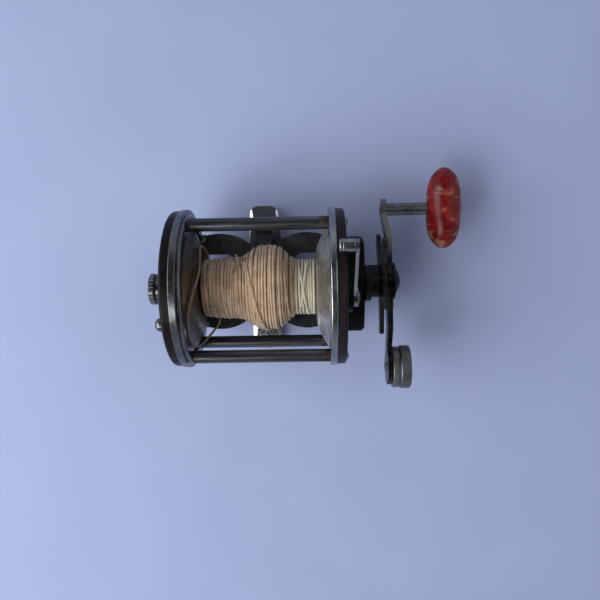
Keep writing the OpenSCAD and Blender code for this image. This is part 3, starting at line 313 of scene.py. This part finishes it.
def resin(name, dark, light, specular=0.13, black_from=None):
    """Moulded resin, dull with rubbing, with fine specks; past black_from along X it is near black: black
    resin, darker still as painted shade.
    """
    s = Shade(name, Specular_IOR_Level=specular)
    at = s.place()
    cloud = s.noise(at, scale=140, detail=6, rough=0.6, distort=0.6)
    speck = s.noise(at, scale=1500, detail=3, rough=0.6)
    base = s.ramp(s.weigh(cloud, 0.6, speck, 0.4), (0.3, dark), (0.75, light))
    if black_from:
        black_and_shade = s.span(s.along(at, "X"), (black_from, black_from + 0.001), (0, 0.75))
        base = s.mix(black_and_shade, base, (0.001, 0.001, 0.001))
    s.colour(base)
    s.rough(s.span(cloud, NOISE, (0.28, 0.55)))
    s.bump(speck, 0.00002)
    return s.mat


def turned_metal(name, dark, light):
    """Machined metal with rings from turning along X."""
    s = Shade(name, Metallic=1.0)
    at = s.place()
    lines = s.noise(s.stretched(at, (1, 0.05, 0.05)), scale=4000, detail=2, rough=0.5)
    cloud = s.noise(at, scale=200, detail=5, rough=0.6)
    s.colour(s.ramp(s.weigh(cloud, 0.6, lines, 0.4), (0.3, dark), (0.7, light)))
    s.rough(s.span(cloud, NOISE, (0.25, 0.45)))
    s.bump(lines, 0.00001)
    return s.mat


# Yarns round the line, and how many of them pass in a millimetre of its length
YARNS = 2.0
LAY = 0.8


def braid(name, dark, light, dirt_and_shade):
    """Laid line: the yarns turn round it, and it is soiled in places; towards the left it is darker, partly
    soiled and partly painted shade.
    """
    s = Shade(name, Roughness=0.85, Sheen_Weight=0.25, Specular_IOR_Level=0.2)
    run = s.node("ShaderNodeSeparateXYZ", Vector=s.node("ShaderNodeTexCoord").outputs["UV"]).outputs
    phase = s.weigh(run["X"], LAY, run["Y"], YARNS)
    lobes = s.span(s.math("SINE", s.times(phase, 2 * math.pi)), (-1, 1), (0, 1))
    at = s.place()
    tone = s.noise(at, scale=210, detail=5, rough=0.65)
    fuzz = s.noise(at, scale=3800, detail=3, rough=0.7)
    smear = s.noise(at, scale=95, detail=5, rough=0.6)
    shade = s.add(s.times(lobes, 0.25), s.weigh(tone, 0.6, fuzz, 0.28))
    base = s.ramp(shade, (0.275, dark), (0.805, light))
    # Darker towards the left: partly soiling, partly painted shade.
    left = s.span(s.along(at, "X"), (-0.010, -0.022), (0, 0.05))
    s.colour(s.mix(s.span(s.add(smear, left), (0.55, 0.78), (0, 0.7)), base, dirt_and_shade))
    s.bump(s.add(lobes, s.times(fuzz, 1.2)), 0.00008)
    return s.mat


def marble(name):
    """Cast resin of the knob: red, with cream veins drawn out in streaks and fine lines from turning."""
    s = Shade(name, Specular_IOR_Level=0.27)
    at = s.place()
    swirl = s.noise(at, scale=60, detail=4, rough=0.5, distort=2.0)
    streak_at = s.stretched(at, (0.4, 1, 0.7), rotation=(0.2, 0.3, 0.5))
    vein = s.noise(streak_at, scale=105, detail=5, rough=0.62, distort=1.5)
    turning = s.noise(s.stretched(at, (0.03, 1, 0.03)), scale=1100, detail=3, rough=0.6)
    speck = s.noise(at, scale=1200, detail=4, rough=0.7)
    base = s.ramp(s.add(swirl, s.span(turning, NOISE, (-0.09, 0.09))),
                  (0.3, (0.06, 0.0025, 0.004)), (0.5, (0.175, 0.005, 0.0065)), (0.72, (0.28, 0.015, 0.012)))
    s.colour(s.mix(s.span(vein, (0.585, 0.72), (0, 0.78)), base, (0.52, 0.27, 0.16)))
    s.rough(s.span(speck, NOISE, (0.2, 0.36)))
    s.bump(speck, 0.000015)
    return s.mat


# Finishes: dark and light tone, then stain, or for the lines a tint for soiling and painted shade
PLATED = worn_metal("tarnished_plate", (0.17, 0.18, 0.185), (0.39, 0.41, 0.42), (0.13, 0.10, 0.08),
                    rough=(0.18, 0.3), grain=0.000008)
DULL = worn_metal("dull_plate", (0.10, 0.105, 0.11), (0.24, 0.25, 0.255), (0.10, 0.075, 0.055),
                  rough=(0.22, 0.42), stain_from=0.6)
DARK = worn_metal("dark_plate", (0.05, 0.05, 0.05), (0.14, 0.14, 0.14), (0.07, 0.05, 0.035),
                  rough=(0.3, 0.5), stain_from=0.58)
RING = worn_metal("ring_plate", (0.085, 0.087, 0.09), (0.21, 0.217, 0.222), (0.10, 0.075, 0.06),
                  rough=(0.2, 0.3), grain=0.000005)
WEIGHT = worn_metal("weight_plate", (0.088, 0.091, 0.09), (0.24, 0.248, 0.242), (0.11, 0.08, 0.06),
                    rough=(0.34, 0.55))
# The spool is painted darker towards its left dish, which faces away from the window lamp: painted shade.
FLANGE = worn_metal("spool_plate", (0.20, 0.194, 0.178), (0.66, 0.64, 0.59), (0.26, 0.21, 0.15),
                    rough=(0.3, 0.5), stain_from=0.56,
                    darkening=("X", "ADD", -0.012, -0.024, (0.115, 0.098, 0.082)))
# The middle of the foot, under the pillars and the spool, is painted darker than its ends: painted shade.
FOOT = worn_metal("foot_plate", (0.55, 0.58, 0.60), (0.86, 0.88, 0.90), (0.30, 0.27, 0.22),
                  rough=(0.06, 0.18), stain_from=0.7,
                  darkening=("Y", "ABSOLUTE", 0.036, 0.028, (0.29, 0.305, 0.305)))
PILLAR = end_rust("pillar_plate", (0.05, 0.053, 0.058), (0.155, 0.162, 0.176), (0.055, 0.032, 0.02),
                  near=0.026, far=0.037)
RESIN = resin("moulded_resin", (0.003, 0.002, 0.0025), (0.012, 0.008, 0.009))
# Past the right ring the gear case is near black: black resin, darkened further as painted shade.
CASE = resin("moulded_case", (0.007, 0.005, 0.006), (0.021, 0.015, 0.017), specular=0.15,
             black_from=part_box("right_ring")[1][0] + 0.005)
BLACK = worn_metal("blackened_plate", (0.008, 0.0075, 0.0075), (0.05, 0.047, 0.046), (0.03, 0.02, 0.014),
                   rough=(0.34, 0.55), stain_from=0.55)
# The crank arm grows darker towards its lower end, by the hub.
ARM = worn_metal("arm_plate", (0.12, 0.123, 0.127), (0.30, 0.31, 0.316), (0.10, 0.075, 0.055),
                 rough=(0.22, 0.42), stain_from=0.6,
                 darkening=("Y", "ADD", 0.024, 0.012, (0.007, 0.006, 0.006)))
# The star wheel is painted near black, where the side plate and crank arm shade it: painted shade.
STAR = worn_metal("star_plate", (0.025, 0.0245, 0.024), (0.085, 0.083, 0.081), (0.06, 0.04, 0.025),
                  rough=(0.26, 0.46), stain_from=0.56)
BRASS = turned_metal("turned_brass", (0.30, 0.20, 0.08), (0.58, 0.44, 0.22))
STEEL = turned_metal("turned_steel", (0.16, 0.16, 0.165), (0.36, 0.36, 0.37))
FIBRE = resin("pressed_fibre", (0.05, 0.035, 0.025), (0.16, 0.11, 0.08))
LINE = braid("laid_line", (0.18, 0.112, 0.062), (0.80, 0.58, 0.39), (0.145, 0.086, 0.042))
# The lower layers show only in the gaps between the turns, and are painted dark there: painted shade.
BED = braid("lower_line", (0.06, 0.035, 0.018), (0.17, 0.11, 0.065), (0.08, 0.05, 0.03))
CREAM = braid("cream_line", (0.36, 0.31, 0.22), (0.69, 0.64, 0.51), (0.38, 0.32, 0.23))
LOOSE = braid("loose_line_fibre", (0.12, 0.08, 0.05), (0.36, 0.27, 0.19), (0.13, 0.09, 0.06))
KNOB = marble("marbled_knob")

# The nodes that keep their shape, by finish
FINISHES = {
    PLATED: "right_ring left_plate_screws right_plate_screws stand_screws bridge_screws lock_screw "
            "lever_arm lever_knob",
    RING: "left_ring left_inner_ring left_bearing_cap click_button",
    WEIGHT: "counterweight counterweight_rivet",
    FOOT: "foot",
    DULL: "handle_spindle foot_rivets lever_screw",
    ARM: "crank_arm",
    DARK: "stand",
    STAR: "star_wheel",
    BLACK: "right_bearing_cap spacer_sleeve handle_nut",
    PILLAR: "front_upper_pillar rear_upper_pillar front_lower_pillar rear_lower_pillar",
    RESIN: "left_side_plate",
    CASE: "right_side_plate",
    BRASS: "left_bearing_bush right_bearing_bush bridge_plate main_gear pinion click_ratchet",
    STEEL: "gear_stud yoke_posts dog_pin dog_spring click_spring spool_shaft gear_sleeve reverse_ratchet "
           "yoke yoke_springs click_pawl reverse_dog",
    FIBRE: "drag_washers",
}


def dress(obj, mat):
    obj.data.materials.clear()
    obj.data.materials.append(mat)


for finish, names in FINISHES.items():
    for name in names.split():
        dress(nodes[name], finish)
dress(strand, LOOSE)

# Edges sharper than this stay crisp on turned pieces
CRISP = math.radians(40)
CURVE_STEPS = 4

# Spool, turned about X, in millimetres: its outline as place along X and distance from the axis
FLANGE_X = 28.3
SPOOL_BORE_R, SPOOL_HUB_R, SPOOL_RIM_R = 2.52, 6.0, 31.4
LEFT_OUTSIDE = [(-37.4, SPOOL_BORE_R), (-37.4, SPOOL_HUB_R), (-30.3, SPOOL_HUB_R), (-30.3, 21.1),
                (-36.0, 30.0), (-36.0, SPOOL_RIM_R), (-34.0, SPOOL_RIM_R)]
RIGHT_OUTSIDE = [(34.9, SPOOL_RIM_R), (36.9, SPOOL_RIM_R), (36.9, 30.0), (30.3, 21.1),
                 (30.3, SPOOL_HUB_R), (37.6, SPOOL_HUB_R), (37.6, SPOOL_BORE_R)]
# A dish from the drum to its rim: distance from the axis and rise, which is scaled to the depth of each side
DISH_DEPTH = 6.0
DISH = [(8, 0), (12, 0.12), (16, 0.5), (20.5, 1.25), (24, 2.65), (27, 4.2), (30.2, DISH_DEPTH)]
LEFT_DEPTH, RIGHT_DEPTH = 5.1, 6.0
SPOOL_COLS = 160


def dish(side, depth):
    """The outline of one dish from the drum outwards, on the side -1 or 1."""
    curve = smooth_path([(FLANGE_X + rise * depth / DISH_DEPTH, r, 0) for r, rise in DISH], CURVE_STEPS)
    return [(side * p.x, p.y) for p in curve]


spool_side = LEFT_OUTSIDE + dish(-1, LEFT_DEPTH)[::-1] + dish(1, RIGHT_DEPTH) + RIGHT_OUTSIDE
spool_verts, spool_faces = [], []
for x, r in spool_side:
    spool_verts += [on_drum(x, r, 2 * math.pi * k / SPOOL_COLS) * MM for k in range(SPOOL_COLS)]
for i in range(len(spool_side)):
    spool_faces += ring_band(i * SPOOL_COLS, (i + 1) % len(spool_side) * SPOOL_COLS, SPOOL_COLS)
spool = mesh_object("turned_spool", spool_verts, spool_faces)
spool.data.set_sharp_from_angle(angle=CRISP)
dress(spool, FLANGE)
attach(spool, "spool")
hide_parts("spool")

# Handle knob, turned about Y: its outline as shares of its half length and half width
KNOB_SIDE = [(0, 1), (0.16, 0.999), (0.32, 0.99), (0.5, 0.945), (0.69, 0.825), (0.83, 0.64),
             (0.94, 0.385), (0.985, 0.19), (1, 0)]
KNOB_COLS = 64
KNOB_BORE_R = 2.56
BORE_COLS = 48
SEAM = 0.02


def bore_along_x(piece, middle, radius, length):
    """Cuts a round hole along X, in metres, and joins the points that the cut leaves closer than SEAM."""
    across = Matrix.Translation(middle) @ Matrix.Rotation(math.pi / 2, 4, "Y")
    drill_form = bmesh.new()
    bmesh.ops.create_cone(drill_form, cap_ends=True, segments=BORE_COLS, radius1=radius, radius2=radius,
                          depth=length, matrix=across)
    drill_mesh = bpy.data.meshes.new("drill")
    drill_form.to_mesh(drill_mesh)
    drill_form.free()
    drill = link(bpy.data.objects.new("drill", drill_mesh))
    cut = piece.modifiers.new("bore", "BOOLEAN")
    cut.operation = "DIFFERENCE"
    cut.solver = "EXACT"
    cut.object = drill
    bored = bpy.data.meshes.new_from_object(piece.evaluated_get(bpy.context.evaluated_depsgraph_get()))
    piece.modifiers.clear()
    piece.data = bored
    bpy.data.objects.remove(drill)
    form = bmesh.new()
    form.from_mesh(bored)
    bmesh.ops.remove_doubles(form, verts=form.verts, dist=SEAM * MM)
    bmesh.ops.triangulate(form, faces=[f for f in form.faces if len(f.verts) > 4])
    form.to_mesh(bored)
    form.free()
    smooth(bored)


knob_low, knob_high = (Vector(c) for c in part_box("handle_knob"))
knob_mid = (knob_low + knob_high) / 2
half_long, half_wide = (knob_high.y - knob_low.y) / 2, (knob_high.z - knob_low.z) / 2
half_side = [(p.x, p.y) for p in smooth_path([(*p, 0) for p in KNOB_SIDE], CURVE_STEPS)]
knob_rings = [(-y, w) for y, w in half_side[-2:0:-1]] + half_side[:-1]
knob_verts = [knob_mid + Vector((0, end * half_long, 0)) for end in (-1, 1)]
for y, w in knob_rings:
    for k in range(KNOB_COLS):
        turn = 2 * math.pi * k / KNOB_COLS
        knob_verts.append(knob_mid + Vector((half_wide * w * math.cos(turn), half_long * y,
                                             half_wide * w * math.sin(turn))))
ring_starts = [2 + i * KNOB_COLS for i in range(len(knob_rings))]
knob_faces = []
for here, there in zip(ring_starts, ring_starts[1:]):
    knob_faces += ring_band(there, here, KNOB_COLS)
for k in range(KNOB_COLS):
    j = (k + 1) % KNOB_COLS
    knob_faces.append((0, ring_starts[0] + k, ring_starts[0] + j))
    knob_faces.append((1, ring_starts[-1] + j, ring_starts[-1] + k))
knob = mesh_object("turned_knob", knob_verts, knob_faces)
bore_along_x(knob, knob_mid, KNOB_BORE_R * MM, 4 * half_wide)
knob.data.set_sharp_from_angle(angle=CRISP)
dress(knob, KNOB)
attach(knob, "knob")
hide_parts("handle_knob")


# Wound line, in millimetres
def ease(t):
    u = min(1.0, max(0.0, t))
    return u * u * (3 - 2 * u)


# Distances of the line from the axis, and where along X each change starts and over what length it goes
LEFT_R, RIGHT_R, HUMP_R = 14.6, 14.4, 21.6
STEP_AT, STEP_RUN = -10, 28
SWELL = 1.2
SWELL_RUN = 16
SWELL_END_AT, SWELL_END_RUN = 4, 12
HUMP_AT, HUMP_RUN = -11, 12.5
HUMP_END_AT, HUMP_END_RUN = 8, 12


def base_r(x):
    """Outside of the line without its hump."""
    swell = ease((x + FLANGE_X) / SWELL_RUN) * (1 - ease((x - SWELL_END_AT) / SWELL_END_RUN))
    return LEFT_R + (RIGHT_R - LEFT_R) * ease((x - STEP_AT) / STEP_RUN) + SWELL * swell


def wound_r(x):
    """Outside of the line with its hump."""
    hump = ease((x - HUMP_AT) / HUMP_RUN) * (1 - ease((x - HUMP_END_AT) / HUMP_END_RUN))
    return base_r(x) + (HUMP_R - base_r(x)) * hump


LINE_D = 1.26
FLANGE_GAP = 0.05
LINE_END = FLANGE_X - LINE_D / 2 - FLANGE_GAP
RINGS = 40
KNOTS_PER_TURN = 3
chance = random.Random(11)


def helix(tubes, x0, x1, pitch, outside, inset, stray, start=0.0):
    """Turns laid side by side; each turn strays from its place and lies a little higher or lower."""
    turns = int(abs(x1 - x0) / pitch)
    knots = KNOTS_PER_TURN * turns
    side = [chance.uniform(-stray, stray) for _ in range(knots + 2)]
    lift = [chance.uniform(-0.5, 0.5) * stray for _ in range(knots + 2)]
    path = []
    for i in range(turns * RINGS + 1):
        place = knots * i / (turns * RINGS)
        k, t = int(place), ease(place - int(place))
        x = x0 + (x1 - x0) * i / (turns * RINGS) + side[k] + (side[k + 1] - side[k]) * t
        x = min(LINE_END, max(-LINE_END, x))
        r = outside(x) - inset + lift[k] + (lift[k + 1] - lift[k]) * t
        path.append(on_drum(x, r, 2 * math.pi * i / RINGS + start))
    tubes.add(path, LINE_D / 2, radial)


CROSS_INSET = 0.9
CROSS_RAMP = 0.2


def crossing(tubes, x0, x1, from_deg, to_deg, lift):
    """A turn laid slantwise over the others, which comes out of them and goes back at its ends."""
    path = []
    for i in range(RINGS + 1):
        t = i / RINGS
        x = x0 + (x1 - x0) * t
        over = lift * ease(t / CROSS_RAMP) * (1 - ease((t - (1 - CROSS_RAMP)) / CROSS_RAMP))
        turn = math.radians(from_deg + (to_deg - from_deg) * t)
        path.append(on_drum(x, wound_r(x) - CROSS_INSET + over, turn))
    tubes.add(path, LINE_D / 2, radial)


# Where the tan line ends and the cream line starts
TAIL_X = 18.6
wound = TubeSet()
helix(wound, -27.5, TAIL_X, pitch=1.3, outside=base_r, inset=1.0, stray=0.25)
helix(wound, -8.8, -26.6, pitch=1.75, outside=base_r, inset=0.55, stray=0.45, start=2.0)
helix(wound, 17.6, -9.4, pitch=1.45, outside=wound_r, inset=1.5, stray=0.35)
helix(wound, -9.6, 17.8, pitch=1.5, outside=wound_r, inset=0.8, stray=0.6, start=0.8)
# Crossings: first and last place along X, first and last angle in degrees, lift
TAN_CROSSINGS = [
    (-8.0, 5.4, 28, 180, 1.2), (-6.7, 6.6, 30, 190, 1.0), (-26.6, -24.2, 20, 175, 0.85),
    (-24.4, -21.0, 15, 185, 0.9), (-19.6, -17.8, 25, 170, 0.8), (-18.4, -14.6, 10, 180, 0.95),
    (-12.0, -13.8, 20, 170, 0.85), (12.5, 15.6, 40, 150, 0.5), (16.0, 3.0, 220, 380, 0.6),
    (9.0, 0.5, -140, 10, 0.6), (-14.5, -8.4, -45, 50, 1.6),
]
for row in TAN_CROSSINGS:
    crossing(wound, *row)
wound_line = wound.build("wound_line")
dress(wound_line, LINE)
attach(wound_line, "spool")
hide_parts("line_turns")

tail = TubeSet()
helix(tail, TAIL_X, 27.5, pitch=1.4, outside=base_r, inset=0.95, stray=0.3)
CREAM_CROSSINGS = [(20.5, 25.5, 40, 170, 0.75), (25.0, 21.0, 10, 130, 0.7), (27.5, 27.6, -90, 270, 0.1)]
for row in CREAM_CROSSINGS:
    crossing(tail, *row)
cream_line = tail.build("cream_line")
dress(cream_line, CREAM)
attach(cream_line, "spool")

# Lower layers of the line, ribbed like the turns above them
BED_HALF = 28.2
BED_INSET = 1.9
BED_RIB = 0.12
BED_ROWS, BED_COLS = 112, 64
# What one face stands for: millimetres along a line, and share of the way round it
BED_U, BED_V = 1.5, 0.34


def bed(name):
    verts, faces, uvs = [], [], []
    for i in range(BED_ROWS + 1):
        x = -BED_HALF + 2 * BED_HALF * i / BED_ROWS
        r = wound_r(x) - BED_INSET + BED_RIB * math.cos(2 * math.pi * x / LINE_D)
        verts += [on_drum(x, r, 2 * math.pi * k / BED_COLS) * MM for k in range(BED_COLS)]
    for i in range(BED_ROWS):
        faces += ring_band(i * BED_COLS, (i + 1) * BED_COLS, BED_COLS)
        v0, v1 = i * BED_V, (i + 1) * BED_V
        for u0, u1 in ((k * BED_U, (k + 1) * BED_U) for k in range(BED_COLS)):
            uvs.append(((u0, v0), (u1, v0), (u1, v1), (u0, v1)))
    for ring, order in ((0, -1), (BED_ROWS, 1)):
        faces.append(tuple(range(ring * BED_COLS, (ring + 1) * BED_COLS))[::order])
        uvs.append(((0.0, 0.0),) * BED_COLS)
    return mesh_object(name, verts, faces, uvs)


line_bed = bed("line_bed")
dress(line_bed, BED)
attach(line_bed, "spool")
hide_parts("line_core")

# Floor, just under the foot, in metres
FLOOR_HALF = 1.5
FLOOR_Z = -0.0012
FLOOR_DARK, FLOOR_LIGHT = (0.345, 0.400, 0.625), (0.370, 0.428, 0.655)
floor_mesh = bpy.data.meshes.new("floor")
floor_mesh.from_pydata([(-FLOOR_HALF, -FLOOR_HALF, 0), (FLOOR_HALF, -FLOOR_HALF, 0),
                        (FLOOR_HALF, FLOOR_HALF, 0), (-FLOOR_HALF, FLOOR_HALF, 0)], [], [(0, 1, 2, 3)])
floor = link(bpy.data.objects.new("floor", floor_mesh))
floor.location = (0, 0, FLOOR_Z)
paint = Shade("floor_paint", Roughness=0.7)
floor_at = paint.place()
paint.colour(paint.ramp(paint.noise(floor_at, scale=14, detail=4, rough=0.5),
                        (0.3, FLOOR_DARK), (0.7, FLOOR_LIGHT)))
paint.bump(paint.noise(floor_at, scale=220, detail=4, rough=0.5), 0.00004)
dress(floor, paint.mat)


# Light, in metres and watts
def lamp(name, place, aim, size, watts, colour):
    data = bpy.data.lights.new(name, "AREA")
    data.shape = "RECTANGLE"
    data.size, data.size_y = size
    data.energy = watts
    data.color = colour
    obj = link(bpy.data.objects.new(name, data))
    obj.location = place
    obj.rotation_euler = (Vector(aim) - Vector(place)).to_track_quat("-Z", "Y").to_euler()


DAYLIGHT, ROOM_LIGHT = (0.96, 0.98, 1.0), (0.97, 0.98, 1.0)
lamp("window", place=(-1.05, -0.08, 0.80), aim=(0, 0, 0), size=(1.5, 1.0), watts=17.0, colour=DAYLIGHT)
lamp("skylight", place=(-0.56, -0.46, 0.86), aim=(0, 0, 0), size=(0.55, 0.8), watts=5.0, colour=DAYLIGHT)
lamp("room", place=(0.62, 0.25, 0.85), aim=(0, 0, 0.03), size=(0.8, 0.9), watts=1.4, colour=ROOM_LIGHT)

# World: bright at the horizon and dark overhead
HORIZON, OVERHEAD = (0.86, 0.91, 1.0, 1), (0.06, 0.065, 0.075, 1)
OVERHEAD_FROM = 0.8
WORLD_STRENGTH = 0.68
world = bpy.data.worlds.new("room")
scene.world = world
world.use_nodes = True
tree = world.node_tree
background = tree.nodes["Background"]
background.inputs["Strength"].default_value = WORLD_STRENGTH
sky = tree.nodes.new("ShaderNodeSeparateXYZ")
tree.links.new(tree.nodes.new("ShaderNodeTexCoord").outputs["Generated"], sky.inputs["Vector"])
fade = tree.nodes.new("ShaderNodeValToRGB")
fade.color_ramp.elements[0].color = HORIZON
fade.color_ramp.elements[1].color = OVERHEAD
fade.color_ramp.elements[1].position = OVERHEAD_FROM
tree.links.new(sky.outputs["Z"], fade.inputs["Fac"])
tree.links.new(fade.outputs["Color"], background.inputs["Color"])
scene.view_settings.view_transform = "Standard"
